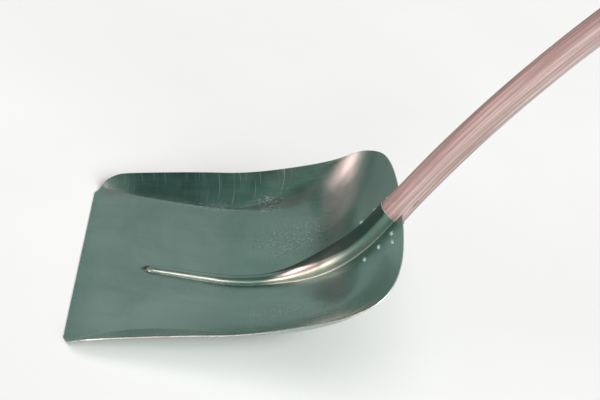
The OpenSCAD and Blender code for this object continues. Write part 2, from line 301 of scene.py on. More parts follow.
def shell(points, faces, thick, edge, fields):
    """Thickens an open sheet downwards and rounds its edge. Returns points, faces, normals, fields."""
    n = grid_normals(points, faces)
    loop = boundary_loop(faces)
    p, nl = points[loop], n[loop]
    t = unit(unit(np.roll(p, -1, 0) - p) + unit(p - np.roll(p, 1, 0)))
    out = unit(np.cross(t, nl))
    upper = points.copy()
    upper[loop] = p - edge * out
    rings, ring_n = [], []
    for depth, deg in ((edge, 45), (edge, 0), (thick - edge, 0), (thick - edge, -45)):
        way = math.cos(math.radians(deg)) * out + math.sin(math.radians(deg)) * nl
        rings.append(p - edge * out - depth * nl + edge * way)
        ring_n.append(way)
    lower = upper - thick * n
    all_points = np.concatenate([upper, *rings, lower])
    all_normals = np.concatenate([n, *ring_n, -n])
    count, m = len(points), len(loop)
    chain = [loop] + [count + k * m + np.arange(m) for k in range(4)] + [count + 4 * m + loop]
    quads = [faces, (faces + count + 4 * m)[:, ::-1]]
    for one, two in zip(chain[:-1], chain[1:]):
        quads.append(np.stack([np.roll(one, -1), one, two, np.roll(two, -1)], -1))
    spread = {k: np.concatenate([v] + [v[loop]] * 4 + [v]) for k, v in fields.items()}
    spread["under"] = np.concatenate([np.zeros(count), np.full(4 * m, 0.5), np.ones(count)])
    spread["edge"] = np.concatenate([np.zeros(count), np.ones(4 * m), np.zeros(count)])
    return all_points, np.concatenate(quads), all_normals, spread


def lathe(profile, turns, wobble=lambda angle: 0.0):
    """Closed surface of revolution about z from (radius, z) pairs; the ends have radius 0."""
    points, faces = [], []
    ends = [(0, 0, profile[0][1]), (0, 0, profile[-1][1])]
    inner = profile[1:-1]
    for r, z in inner:
        for k in range(turns):
            a = 2 * math.pi * k / turns
            w = 1 + wobble(a)
            points.append((r * w * math.cos(a), r * w * math.sin(a), z))
    for i in range(len(inner) - 1):
        for k in range(turns):
            j = (k + 1) % turns
            faces.append((i * turns + k, i * turns + j, (i + 1) * turns + j, (i + 1) * turns + k))
    points += ends
    base, last = len(points) - 2, (len(inner) - 1) * turns
    for k in range(turns):
        j = (k + 1) % turns
        faces.append((base, j, k))
        faces.append((base + 1, last + k, last + j))
    if profile[0][1] > profile[-1][1]:
        faces = [face[::-1] for face in faces]
    return np.array(points, float), faces


# ------------------------------------------------------------------ material helpers
def new_material(name):
    mat = bpy.data.materials.new(name)
    mat.use_nodes = True
    mat.node_tree.nodes.clear()
    return mat, mat.node_tree


def nd(tree, kind, inputs=None, out=0, **props):
    """Adds a node, sets or links its inputs, and returns one of its outputs."""
    node = tree.nodes.new(kind)
    for key, value in props.items():
        setattr(node, key, value)
    for key, value in (inputs or {}).items():
        if isinstance(value, bpy.types.NodeSocket):
            tree.links.new(value, node.inputs[key])
        else:
            node.inputs[key].default_value = value
    return node.outputs[out]


def attribute(tree, name, vector=False):
    return nd(tree, "ShaderNodeAttribute", attribute_name=name, out=1 if vector else 2)


def noise(tree, vector, scale, detail=2.0, rough=0.5, distortion=0.0):
    return nd(tree, "ShaderNodeTexNoise", {"Vector": vector, "Scale": scale, "Detail": detail,
                                           "Roughness": rough, "Distortion": distortion})


def stretch(tree, vector, scale):
    return nd(tree, "ShaderNodeMapping", {"Vector": vector, "Scale": scale})


def ramp(tree, fac, low, high, to_low=0.0, to_high=1.0):
    return nd(tree, "ShaderNodeMapRange", {0: fac, 1: low, 2: high, 3: to_low, 4: to_high},
              interpolation_type="SMOOTHSTEP")


def math_node(tree, op, a, b=0.0, c=0.0):
    return nd(tree, "ShaderNodeMath", {0: a, 1: b, 2: c}, operation=op)


def patch(tree, name, fac, low, high, least=0.0, most=1.0):
    """A painted attribute, broken up by a noise."""
    return math_node(tree, "MULTIPLY", ramp(tree, fac, low, high, least, most), attribute(tree, name))


def tinted(colour, amount):
    return [c * amount for c in colour]


def blend(tree, fac, a, b):
    """Mixes two colours, each a node's output or a plain triple."""
    node = tree.nodes.new("ShaderNodeMix")
    node.data_type = "RGBA"
    for key, value in ((0, fac), (6, a), (7, b)):
        if isinstance(value, bpy.types.NodeSocket):
            tree.links.new(value, node.inputs[key])
        else:
            node.inputs[key].default_value = value if key == 0 else (*value, 1.0)
    return node.outputs[2]


def bump(tree, height, strength, distance, normal=None):
    inputs = {"Height": height, "Strength": strength, "Distance": distance}
    if normal is not None:
        inputs["Normal"] = normal
    return nd(tree, "ShaderNodeBump", inputs)


def surface(tree, **sockets):
    """The principled surface that ends a material; underscores in the names stand for spaces."""
    node = tree.nodes.new("ShaderNodeBsdfPrincipled")
    for key, value in sockets.items():
        key = key.replace("_", " ")
        if isinstance(value, bpy.types.NodeSocket):
            tree.links.new(value, node.inputs[key])
        else:
            node.inputs[key].default_value = value
    out = tree.nodes.new("ShaderNodeOutputMaterial")
    tree.links.new(node.outputs[0], out.inputs[0])


# ------------------------------------------------------------------ materials
# Base colours
LACQUER, STRAP_LACQUER = (0.27, 0.40, 0.355), (0.25, 0.36, 0.325)
# Painted shade, in a darker and a lighter tone, both greener than the lacquer
GREEN_SHADE_DARK, GREEN_SHADE_LIGHT = (0.10, 0.275, 0.225), (0.13, 0.33, 0.27)
SPECKLED, SCRAPED, SCRATCHED = (0.42, 0.57, 0.52), (0.78, 0.95, 0.90), (0.80, 0.92, 0.88)
# Painted highlight for the rib, painted shade, and bare steel
HIGHLIGHT_PAINT, SHADE_PAINT, BARE = (0.56, 0.68, 0.62), (0.008, 0.030, 0.024), (0.62, 0.68, 0.65)
WOOD_DARK, WOOD_LIGHT = (0.245, 0.198, 0.182), (0.315, 0.262, 0.246)
WOOD_RING, WOOD_FIBRE = (0.26, 0.185, 0.165), (0.50, 0.44, 0.42)
WOOD_PORE, WOOD_KNOT, WOOD_DIRT = (0.22, 0.15, 0.125), (0.13, 0.085, 0.065), (0.20, 0.16, 0.14)
RIVET_TINT, SCREW_TINT, SEAM_DIRT = (0.44, 0.74, 0.68), (0.62, 0.62, 0.58), (0.05, 0.07, 0.06)
COAT = 0.35


def steel_material(name, tint, with_marks):
    """Lacquered sheet steel: rolling streaks, cloudy colour, scratches and bare worn edges, with painted
    shade and a painted highlight among the marks.
    """
    mat, t = new_material(name)
    flow = attribute(t, "flow", vector=True)
    place = nd(t, "ShaderNodeTexCoord", out=3)
    streak = noise(t, stretch(t, flow, (16, 700, 1)), 1.0, 3.0, 0.6)
    band = noise(t, stretch(t, flow, (3, 60, 1)), 1.0, 3.0, 0.55)
    cloud = noise(t, place, 11.0, 4.0, 0.6, 0.4)
    grain = noise(t, place, 900.0, 2.0, 0.5)
    colour = blend(t, ramp(t, cloud, 0.3, 0.7), tinted(tint, 0.88), tinted(tint, 1.10))
    if with_marks:
        # Painted shade: darker, greener steel in the bends, up the walls, on the back and in the rib's dip
        deep = blend(t, ramp(t, cloud, 0.3, 0.7), GREEN_SHADE_DARK, GREEN_SHADE_LIGHT)
        colour = blend(t, attribute(t, "deep"), colour, deep)
    colour = blend(t, ramp(t, streak, 0.25, 0.75, 0.0, 0.12), colour, tinted(tint, 1.5))
    colour = blend(t, ramp(t, band, 0.35, 0.75, 0.0, 0.16), colour, tinted(tint, 0.7))
    metal, coat, specular = 1.0, COAT, 0.5
    rough = math_node(t, "MULTIPLY_ADD", streak, 0.10, 0.21)
    rough = math_node(t, "ADD", rough, ramp(t, cloud, 0.3, 0.75, 0.0, 0.10))
    height = math_node(t, "ADD", math_node(t, "MULTIPLY", streak, 0.5), math_node(t, "MULTIPLY", grain, 0.25))
    if with_marks:
        # Matte speckle where loads wear the back of the scoop
        mask = patch(t, "speckle", noise(t, place, 330.0, 3.0, 0.7), 0.52, 0.62)
        colour = blend(t, mask, colour, SPECKLED)
        rough = math_node(t, "ADD", rough, math_node(t, "MULTIPLY", mask, 0.25))
        # Scrapes along the side bend
        scrape = noise(t, stretch(t, flow, (140, 420, 1)), 1.0, 4.0, 0.75, 0.8)
        colour = blend(t, patch(t, "scrape", scrape, 0.52, 0.58), colour, SCRAPED)
        # Upright scratches on the side walls
        upright = noise(t, stretch(t, flow, (520, 12, 1)), 1.0, 2.0, 0.5)
        colour = blend(t, patch(t, "wall", upright, 0.57, 0.68, 0.0, 0.75), colour, SCRATCHED)
        # Painted highlight along the rib's crest and foot, in a bright bare-steel colour
        colour = blend(t, attribute(t, "worn"), colour, HIGHLIGHT_PAINT)
        # Painted shade, dark and greenish, on the socket and the rib's far flank above all, which also hides
        # the metal
        shade = attribute(t, "shade")
        colour = blend(t, math_node(t, "MULTIPLY", shade, 0.90), colour, SHADE_PAINT)
        rough = math_node(t, "ADD", rough, math_node(t, "MULTIPLY", shade, 0.22))
        metal = math_node(t, "SUBTRACT", 1.0, math_node(t, "MULTIPLY", shade, 0.85))
        coat = math_node(t, "MULTIPLY", COAT, metal)
        specular = math_node(t, "MULTIPLY", 0.4, metal)
    # Bare steel where the rim has lost its lacquer, and a darker line just inside it
    chip = noise(t, place, 160.0, 3.0, 0.7)
    colour = blend(t, patch(t, "edge", chip, 0.30, 0.55, 0.35, 1.0), colour, BARE)
    colour = blend(t, patch(t, "near_rim", chip, 0.48, 0.66, 0.0, 0.6), colour, tinted(tint, 0.55))
    soft = bump(t, noise(t, place, 45.0, 2.0, 0.5), 0.05, 0.0015)
    normal = bump(t, height, 0.07, 0.00025, soft)
    surface(t, Base_Color=colour, Roughness=rough, Metallic=metal, Normal=normal,
            Specular_IOR_Level=specular, Coat_Weight=coat, Coat_Roughness=0.12)
    return mat


def wood_material():
    """Plain straight-grained wood, sanded and greyed: growth rings through the section, pores, a knot."""
    mat, t = new_material("ash_wood")
    flow = attribute(t, "flow", vector=True)
    wander = noise(t, stretch(t, flow, (2.2, 26, 26)), 1.0, 2.0, 0.5)
    split = nd(t, "ShaderNodeSeparateXYZ", {0: flow}).node
    # Distance across the growth rings, which lie aslant in the section
    aslant = math_node(t, "MULTIPLY", split.outputs[2], 0.84)
    across = math_node(t, "MULTIPLY_ADD", split.outputs[1], 0.55, aslant)
    ripple = math_node(t, "MULTIPLY", wander, 7.0)
    rings = math_node(t, "ADD", math_node(t, "MULTIPLY", across, 2300.0), ripple)
    wave = math_node(t, "SINE", rings)
    fibre = noise(t, stretch(t, flow, (7, 400, 400)), 1.0, 4.0, 0.6)
    tone = noise(t, stretch(t, flow, (3, 45, 45)), 1.0, 3.0, 0.6)
    pores = noise(t, stretch(t, flow, (60, 1500, 1500)), 1.0, 2.0, 0.6)
    colour = blend(t, ramp(t, tone, 0.3, 0.7), WOOD_DARK, WOOD_LIGHT)
    colour = blend(t, ramp(t, wave, -0.2, 1.0, 0.0, 0.45), colour, WOOD_RING)
    colour = blend(t, ramp(t, fibre, 0.42, 0.66, 0.0, 0.75), colour, WOOD_FIBRE)
    colour = blend(t, ramp(t, pores, 0.62, 0.72, 0.0, 0.35), colour, WOOD_PORE)
    colour = blend(t, attribute(t, "knot"), colour, WOOD_KNOT)
    dirt = noise(t, nd(t, "ShaderNodeTexCoord", out=3), 30.0, 3.0, 0.6)
    colour = blend(t, patch(t, "grime", dirt, 0.3, 0.7, 0.3, 1.0), colour, WOOD_DIRT)
    rough = math_node(t, "MULTIPLY_ADD", fibre, 0.2, 0.48)
    height = math_node(t, "SUBTRACT", fibre, math_node(t, "MULTIPLY", ramp(t, pores, 0.6, 0.72), 0.6))
    surface(t, Base_Color=colour, Roughness=rough, Normal=bump(t, height, 0.35, 0.0003))
    return mat


def rivet_material(name, tint):
    mat, t = new_material(name)
    place = nd(t, "ShaderNodeTexCoord", out=3)
    blot = noise(t, place, 420.0, 3.0, 0.6)
    colour = blend(t, ramp(t, blot, 0.3, 0.7), tinted(tint, 0.75), tint)
    colour = blend(t, attribute(t, "seam"), colour, SEAM_DIRT)
    rough = ramp(t, blot, 0.2, 0.8, 0.32, 0.50)
    surface(t, Base_Color=colour, Roughness=rough, Metallic=0.9,
            Normal=bump(t, noise(t, place, 700.0, 2.0), 0.3, 0.0003))
    return mat


def floor_material():
    mat, t = new_material("pale_floor")
    place = nd(t, "ShaderNodeTexCoord", out=3)
    dark, light = (0.88, 0.88, 0.875), (0.91, 0.91, 0.905)
    colour = blend(t, ramp(t, noise(t, place, 2.0, 3.0), 0.3, 0.7), dark, light)
    surface(t, Base_Color=colour, Roughness=0.85,
            Normal=bump(t, noise(t, place, 260.0, 3.0), 0.08, 0.0005))
    return mat


STEEL = steel_material("lacquered_steel", LACQUER, True)
STRAP_STEEL = steel_material("strap_steel", STRAP_LACQUER, False)
WOOD = wood_material()
RIVET_STEEL = rivet_material("rivet_steel", RIVET_TINT)
SCREW_STEEL = rivet_material("screw_steel", SCREW_TINT)


# ------------------------------------------------------------------ blade
def blade_rows():
    """Plan rows from the cutting edge to the rim: x at the rib, and how far the row fans to the corner."""
    mouth_x = BLADE_X - MOUTH_D * math.cos(BACK_ANGLE)
    # Closer together at the edge and about the rib's tip
    front = [0, 1.6, 3.6, 6, 9, 12, 15, 18.5, 22, 26, 30, 34, 38, *np.arange(40.4, 84, 2.4)]
    front += [85.2, 86.4, 87.0, 87.2, 87.6, 88.2, 89.0, 90.0, 91.3, 92.8, 94.4, 96]
    front += [*np.linspace(98, FAN_X - 2.2, 74)]
    fan = np.linspace(0, 1, FAN_ROWS)
    at = (mouth_x - FAN_X) / (BLADE_X - FAN_X)
    fan[np.argmin(abs(fan - at))] = at
    return [(x, -1.0) for x in front] + [(mix(FAN_X, BLADE_X, f), f) for f in fan], mouth_x


def plate_points(x, f, root):
    """Plan points of one half row from the rib's root to the side, close together in the side bend."""
    if f < 0:
        outer = np.array([x, side_half(x)])
    elif f <= 0.5:
        side_x = mix(FAN_X, CORNER_X, f * 2)
        outer = np.array([side_x, side_half(side_x)])
    else:
        outer = corner_pt(FAN_DEG * ((f - 0.5) * 2)**1.5)
    inner = np.array([x, root])

    def plan(share):
        p = mix(inner, outer, share[:, None])
        if f > 0:
            # The last rows bow out to follow the rim
            first, last = RIB_FOOT * RIB_IN_R, corner_pt(FAN_DEG)[1]
            chord = mix(rim_points(first), rim_points(last), share[:, None])
            p = p + (rim_points(mix(first, last, share)) - chord) * f**3
        return p

    share, margin = np.linspace(0, 1, 600), 1.5
    p = plan(share)
    start, run = section_at(p[:, 0])[6:]
    past_start, past_end = p[:, 1] > start - margin, p[:, 1] > start + run + margin
    bend_in = share[np.argmax(past_start)] if past_start.any() else 0.9
    bend_out = share[np.argmax(past_end)] if past_end.any() else 0.97
    bend_in = min(max(bend_in, 0.4), 0.93)
    bend_out = min(max(bend_out, bend_in + 0.02), 0.975)
    stops = (0, bend_in, bend_out, 1)
    return plan(np.concatenate([np.linspace(a, b, n + 1)[1:] for a, b, n in zip(stops, stops[1:], COLUMNS)]))


def rib_section():
    """Half section of the rib in rib radii, from its crest down to the toe: across, up, and where it ends."""
    root_y = math.sqrt(1 + 2 * RIB_TOE)
    root_a = math.atan2(RIB_TOE, root_y)
    arc = np.linspace(QUARTER, root_a, 23)
    toe = np.linspace(math.pi + root_a, 3 * QUARTER, 7)[1:]
    return (np.concatenate([np.cos(arc), root_y + RIB_TOE * np.cos(toe)]),
            np.concatenate([np.sin(arc), RIB_TOE + RIB_TOE * np.sin(toe)]), root_y)


def blade_grid(rows):
    """Upper face of the sheet as a grid of points, and how many columns half the rib takes."""
    rib_y, rib_h, root_y = rib_section()
    half = []
    for x, f in rows:
        r, w, a = float(rib_r(x)), float(rib_w(x)), float(back_a(x))
        rib = top(np.full(len(rib_y), float(x)), r * w * rib_y)
        rib = rib + (r * float(rib_k(x)) * rib_h)[:, None] * np.array([-math.sin(a), 0, math.cos(a)])
        p = plate_points(x, f, root_y * r * w)
        half.append(np.concatenate([rib, top(p[:, 0], p[:, 1])]))
    half = np.array(half)
    mirror = half[:, :0:-1] * np.array([1, -1, 1])
    return np.concatenate([mirror, half], 1), len(rib_y)


def blade_fields(x, y, rim):
    """Where the blade has painted shade, green or dark, a painted highlight, speckle, scrapes and scratches,
    each from 0 to 1.
    """
    crease = np.abs(y) - crease_y(x)
    flank = y / np.maximum(rib_r(x) * rib_w(x), 1e-6)
    on_rib = hump(np.maximum(np.abs(flank) - 1.0, 0) * rib_r(x), 0, 1.5) * (x > RIB_X)

    def blob(at_x, at_y, run_x, run_y):
        return np.exp(-((x - at_x) / run_x)**2 - ((y - at_y) / run_y)**2)

    # Painted shade, darker and greener: up the far wall, the back and before its far corner, at both ends of
    # the floor and on the rib
    deep = np.maximum.reduce([rise(crease, -2, 10) * (y > 0), rise(x, 318, 40),
                              rise(x, 290, 20) * fall(x, 326, 14) * rise(y, 95, 30),
                              0.3 * rise(x, 160, 60) + 0.3 * fall(x, 40, 40),
                              0.8 * on_rib * rise(x, 185, 25) * fall(x, 262, 25)])
    # Less of that shade in the far corner and beside it, which paints a highlight there
    deep = deep * (1 - np.clip(1.3 * blob(343, 158, 17, 36), 0, 1))
    deep = deep * (1 - 0.6 * hump(x, 336, 13) * rise(y, 35, 30) * fall(y, 150, 30))
    # Painted highlight along the near side of the rib's crest and at its foot
    crest = (0.40 * rise(x, 98, 8) * fall(x, 232, 50)
             + 0.95 * rise(x, 250, 22) * fall(x, 338, 26) * (1 - 0.7 * hump(x, 311, 4)))
    foot = 0.6 * hump(flank, -1.06, 0.07) * rise(x, 235, 30) * fall(x, 392, 20)
    # Painted shade on the socket, the back's two sides, the far front corner, the rib's far flank and its tip
    shaded_from = mix(0.15, -0.78, rise(x, 232, 90))
    shade = (0.55 * on_rib * rise(x, 318, 30) + 0.55 * rise(x, 348, 30) * rise(y, 20, 30)
             + 0.26 * rise(x, 350, 30) * rise(-y, 20, 30) + 0.45 * blob(26, 166, 22, 20)
             + on_rib * rise(flank, shaded_from, 0.20) * rise(x, 222, 30) + 1.1 * blob(RIB_X, 1, 8, 6))
    speckle = 0.8 * blob(300, 86, 42, 36) + 0.8 * blob(262, 72, 40, 28) + 0.9 * blob(262, -88, 55, 24)
    scrape = 0.55 * hump(crease, 0, 5.0) * hump(x, 165, 45) * (y > 0) + blob(246, 144, 16, 10)
    # The first three fields are painted shade, painted green shade and a painted highlight
    return {
        "shade": np.clip(shade, 0, 1),
        "deep": deep,
        "worn": on_rib * np.clip(crest * hump(flank, -0.60, 0.34) + foot, 0, 1),
        "near_rim": hump(rim, 0, 5.0),
        "speckle": np.clip(speckle, 0, 1),
        "scrape": np.clip(scrape, 0, 1),
        "wall": rise(crease, 0, 12) * fall(x, 300, 60) * (0.35 + 0.65 * hump(x, 225, 55)),
    }


def build_blade():
    rows, mouth_x = blade_rows()
    grid, rib_columns = blade_grid(rows)
    nr, nc = grid.shape[:2]
    mid = nc // 2
    mouth_row = int(np.argmin([abs(x - mouth_x) for x, _ in rows]))
    index = np.arange(nr * nc).reshape(nr, nc)
    quads = np.stack([index[:-1, :-1], index[1:, :-1], index[1:, 1:], index[:-1, 1:]], -1)
    # The rib is left out behind the mouth, where the handle comes out of the socket
    keep = np.ones((nr - 1, nc - 1), bool)
    keep[mouth_row:, mid - (rib_columns - 1):mid + (rib_columns - 1)] = False
    quads = quads[keep]
    used = np.unique(quads)
    renumber = np.full(nr * nc, -1)
    renumber[used] = np.arange(len(used))
    # Distances over the sheet from the edge and from the rib, which the steel's streaks follow
    step_x, step_y = (np.linalg.norm(np.diff(grid, axis=k), axis=-1) for k in (0, 1))
    along = np.concatenate([np.zeros((1, nc)), np.cumsum(step_x, 0)], 0)
    side = np.concatenate([np.zeros((nr, 1)), np.cumsum(step_y, 1)], 1)
    side -= side[:, mid:mid + 1]
    points = grid.reshape(-1, 3)[used]
    along, side = along.ravel()[used], side.ravel()[used]
    quads = renumber[quads]
    n = grid_normals(points, quads)

    # Distance to the open edge, then the slight unevenness of pressed sheet, which dies out there
    loop = boundary_loop(quads)
    tree = kdtree.KDTree(len(loop))
    for i, k in enumerate(loop):
        tree.insert(Vector(points[k]), i)
    tree.balance()
    rim = np.array([tree.find(Vector(p))[2] for p in points])
    x, y = points[:, 0], points[:, 1]
    uneven = 0.16 * waves(x, y, 60, 140) + 0.035 * waves(x, y, 18, 34)
    points = points + n * ((np.maximum(uneven, -0.35) + 0.36) * rise(rim, 0, 25))[:, None]

    fields = blade_fields(x, y, rim)
    fields["flow"] = np.stack([along, side, np.zeros_like(along)], -1) * MM
    made = shell(points, quads, SHEET, 0.4, fields)
    piece = make_object("scoop_blade", *made[:2], normals=made[2], fields=made[3])
    piece.data.materials.append(STEEL)
    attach(piece, "root")
    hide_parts("blade")


# ------------------------------------------------------------------ strap behind the socket
def arc_points(centre_y, centre_h, radius, start, end, count):
    return [(centre_y + radius * math.cos(a), centre_h + radius * math.sin(a))
            for a in np.linspace(start, end, count)]


def strap_half(width, inset):
    """Half section, from below the handle out along the flange to its tip and back along the upper side."""
    outer, inner, fillet = HANDLE_R + SHEET - inset, HANDLE_R + inset, STRAP_FILLET + inset
    lower, upper = -2 * SHEET + inset, -SHEET - inset
    foot_y = math.sqrt((outer + fillet)**2 - (lower - fillet)**2)
    foot = math.atan2(lower - fillet, foot_y)
    lip_y = math.sqrt((inner + STRAP_LIP)**2 - (upper - STRAP_LIP)**2)
    lip = math.atan2(upper - STRAP_LIP, lip_y)
    edge = (upper - lower) / 2
    tip = width - inset - edge
    half = arc_points(0, 0, outer, -QUARTER, foot, 20)
    half += arc_points(foot_y, lower - fillet, fillet, math.pi + foot, QUARTER, 8)[1:]
    half += [(y, lower) for y in np.linspace(foot_y, tip, 8)[1:]]
    half += arc_points(tip, (upper + lower) / 2, edge, -QUARTER, QUARTER, 7)[1:]
    half += [(y, upper) for y in np.linspace(tip, lip_y, 8)[1:]]
    half += arc_points(lip_y, upper - STRAP_LIP, STRAP_LIP, QUARTER, math.pi + lip, 5)[1:]
    half += arc_points(0, 0, inner, lip, -QUARTER, 20)[1:]
    return np.array(half)


def strap_profile(widths, inset):
    """Closed section of the strap as (across, normal) pairs, one full turn, from its two half widths."""
    right, left = (strap_half(width, inset) for width in widths)
    return np.concatenate([right * np.array([-1, 1]), left[::-1][1:-1]])


def corner_loss(past, radius):
    """How much a rounded corner narrows the flange, that far past the start of the rounding."""
    return radius - math.sqrt(max(0, radius**2 - max(0, past)**2))


def strap_width(d, ear):
    """Half width of the flange: an ear near the top of one side, rounded corners at both ends."""
    width = STRAP_HALF
    if ear and abs(d - EAR_MID) < EAR_RUN:
        width += EAR_OUT * (1 - abs((d - EAR_MID) / EAR_RUN)**EAR_POWER)**(1 / EAR_POWER)
    width -= corner_loss(d - STRAP_END + STRAP_END_R, STRAP_END_R)
    return width - corner_loss(STRAP_TOP + STRAP_TOP_R - d, STRAP_TOP_R)


def build_strap():
    ear = [EAR_MID - EAR_RUN * math.cos(a) for a in np.linspace(0, math.pi, 25)]
    head = [STRAP_TOP + step for step in (0, STRAP_ROUND, 0.8, 1.6, 2.4, 3.0)]
    corner_d = STRAP_END - STRAP_END_R
    tail = [*np.arange(36, corner_d, 2.5), *(corner_d + STRAP_END_R * np.sin(np.linspace(0, 1.5, 10)))]
    ds = sorted(set(np.round([*head, *ear[1:], *tail, STRAP_END - STRAP_ROUND, STRAP_END], 3)))
    points, flow = [], []
    for i, d in enumerate(ds):
        p, _, nrm = station(d)
        width_d = min(max(d, STRAP_TOP + STRAP_ROUND), STRAP_END - STRAP_ROUND)
        widths = [strap_width(width_d, ear) for ear in (True, False)]
        for y, h in strap_profile(widths, STRAP_ROUND if i in (0, len(ds) - 1) else 0.0):
            points.append(p + np.array([0, y, 0]) + h * nrm)
            flow.append((d * MM, y * MM, 0))
    k = len(points) // len(ds)
    faces = []
    for i in range(len(ds) - 1):
        for j in range(k):
            m = (j + 1) % k
            faces.append((i * k + j, i * k + m, (i + 1) * k + m, (i + 1) * k + j))
    # Each end is closed by two strips between the lower and upper runs of its section, one to each side
    half = k // 2
    right = [(j, half - j) for j in range(half // 2 + 1)]
    left = [((k - j) % k, half + j) for j in range((k - half) // 2 + 1)]
    ends = [(a, c, e, b) for (a, b), (c, e) in zip(right, right[1:])]
    ends += [(a, b, e, c) for (a, b), (c, e) in zip(left, left[1:])]
    for base, flip in ((0, False), ((len(ds) - 1) * k, True)):
        for face in ends:
            face = tuple(base + j for j in dict.fromkeys(face))
            if len(face) > 2:
                faces.append(face if flip else face[::-1])
    points, flow = np.array(points), np.array(flow)
    # Width of the worn band along the flange's edge, in mm
    worn = 1.5
    edge = np.clip((np.abs(flow[:, 1]) / MM - STRAP_HALF + worn) / worn, 0, 1) * 0.5
    piece = make_object("rear_strap", points, faces,
                        fields={"flow": flow, "edge": edge, "near_rim": np.zeros(len(points))})
    piece.data.materials.append(STRAP_STEEL)
    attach(piece, "root")
    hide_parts("socket_strap")


# ------------------------------------------------------------------ handle
def handle_path():
    """Centre, direction and distance from the lower end for rings along the handle."""
    rings = []
    for d in list(np.linspace(SEAT_D, BACK_STRAIGHT, 11)) + list(np.linspace(BACK_STRAIGHT, 0, 9))[1:]:
        p, up, _ = station(d)
        rings.append((p, up, SEAT_D - d))
    radius = BEND_LEN / BEND_ANGLE
    start = np.array([BLADE_X, 0, RIM_Z])
    for a in np.linspace(0, BEND_ANGLE, 74)[1:]:
        b = BACK_ANGLE - a
        turned = np.array([math.sin(BACK_ANGLE) - math.sin(b), 0, math.cos(b) - math.cos(BACK_ANGLE)])
        p = start + radius * turned
        rings.append((p, np.array([math.cos(b), 0, math.sin(b)]), SEAT_D + radius * a))
    p, way, s = rings[-1]
    free = HANDLE_LEN - SEAT_D - BEND_LEN - HANDLE_R
    for u in np.linspace(0, free, 122)[1:]:
        rings.append((p + u * way, way, s + u))
    return rings


# Knots: depth, distance up the handle and half length, angle about the handle and half width
KNOTS = ((1.0, 109, 5.5, math.radians(201), 1.6), (0.8, 92, 2.0, math.radians(118), 1.3),
         (0.8, 611, 6.0, math.radians(200), 2.2))


def build_handle():
    rings = handle_path()
    turns = 72
    angle = np.linspace(0, 2 * math.pi, turns, endpoint=False)
    total = rings[-1][2]
    wander = [waves(np.array([0.0]), np.array([0.0]), 100, 200)[0] for _ in range(3)]
    points, flow, knot, grime = [], [], [], []

    def ring(p, way, s, r):
        """One ring of points: slightly uneven above the socket, as if shaped by hand."""
        nrm = np.array([-way[2], 0, way[0]])
        hand = 0.12 * np.sin(s / 47.0 + wander[0]) + 0.08 * np.sin(s / 19.0 + 2 * angle + wander[1])
        facet = 0.07 * np.sin(6 * angle + s / 160.0 + wander[2])
        rr = r - (0.2 + hand * 0.5 + facet) * min(1.0, r / HANDLE_R) * (s > SEAT_D)
        # Grimy at the socket's mouth, where hands hold it and at the top
        by_mouth = math.exp(-max(0.0, s - SEAT_D + MOUTH_D) / 5.0)
        dirt = 0.5 * by_mouth + 0.20 * hump(s, 720, 130) + 0.25 * hump(total - s, 0, 60)
        for a, q in zip(angle, np.broadcast_to(rr, angle.shape)):
            y, h = q * math.cos(a), q * math.sin(a)
            points.append(p + np.array([0, y, 0]) + h * nrm)
            flow.append((s * MM, y * MM, h * MM))
            knot.append(sum(depth * math.exp(-((s - at) / length)**2 - ((a - turn) * q / width)**2)
                            for depth, at, length, turn, width in KNOTS))
            grime.append(dirt)

    # The seated end is chamfered and a little slimmer than the socket; the top is rounded
    p, way, s = rings[0]
    ring(p, way, s, HANDLE_R - 1.3)
    ring(p + 0.9 * way, way, s + 0.9, HANDLE_R - 0.4)
    for p, way, s in rings[1:]:
        ring(p, way, s, HANDLE_R - (0.1 if s < SEAT_D - BACK_STRAIGHT else 0.0))
    end_r = HANDLE_R - 0.25
    for a in np.linspace(0, QUARTER, 15)[1:-1]:
        ring(p + end_r * math.sin(a) * way, way, s + end_r * math.sin(a), HANDLE_R * math.cos(a))
    count = len(points) // turns
    faces = []
    for i in range(count - 1):
        for j in range(turns):
            m = (j + 1) % turns
            faces.append((i * turns + m, (i + 1) * turns + m, (i + 1) * turns + j, i * turns + j))
    ends = ((0, rings[0][0], 0.0, True), ((count - 1) * turns, p + end_r * way, s + end_r, False))
    for base, centre, at, flip in ends:
        hub = len(points)
        points.append(centre)
        flow.append((at * MM, 0, 0))
        knot.append(0)
        grime.append(0.3)
        for j in range(turns):
            m = (j + 1) % turns
            faces.append((hub, base + m, base + j) if flip else (hub, base + j, base + m))
    piece = make_object("wood_handle", points, faces,
                        fields={"flow": flow, "knot": np.clip(knot, 0, 1), "grime": grime})
    piece.data.materials.append(WOOD)
    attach(piece, "root")
    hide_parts("handle")


# ------------------------------------------------------------------ rivets and screw
def placed_points(points, d, y):
    """Points about a local frame set at a station: local x up the back, local z its normal."""
    p, up, nrm = station(d)
    across = np.array([0, 1, 0])
    return p + y * across + points[:, :1] * up + points[:, 1:2] * across + points[:, 2:] * nrm


def cap(radius, height, count, base, sign):
    """Profile of a domed head from its centre out to its rim."""
    big = (radius**2 + height**2) / (2 * height)
    bend = math.asin(radius / big)
    angles = [bend * k / (count - 1) for k in range(count)]
    return [(big * math.sin(a), base + sign * (big * math.cos(a) - (big - height))) for a in angles]


def seam_field(points, start, run, most):
    """Dirt round the rim of a head."""
    return most * rise(np.hypot(points[:, 0], points[:, 1]), start, run)


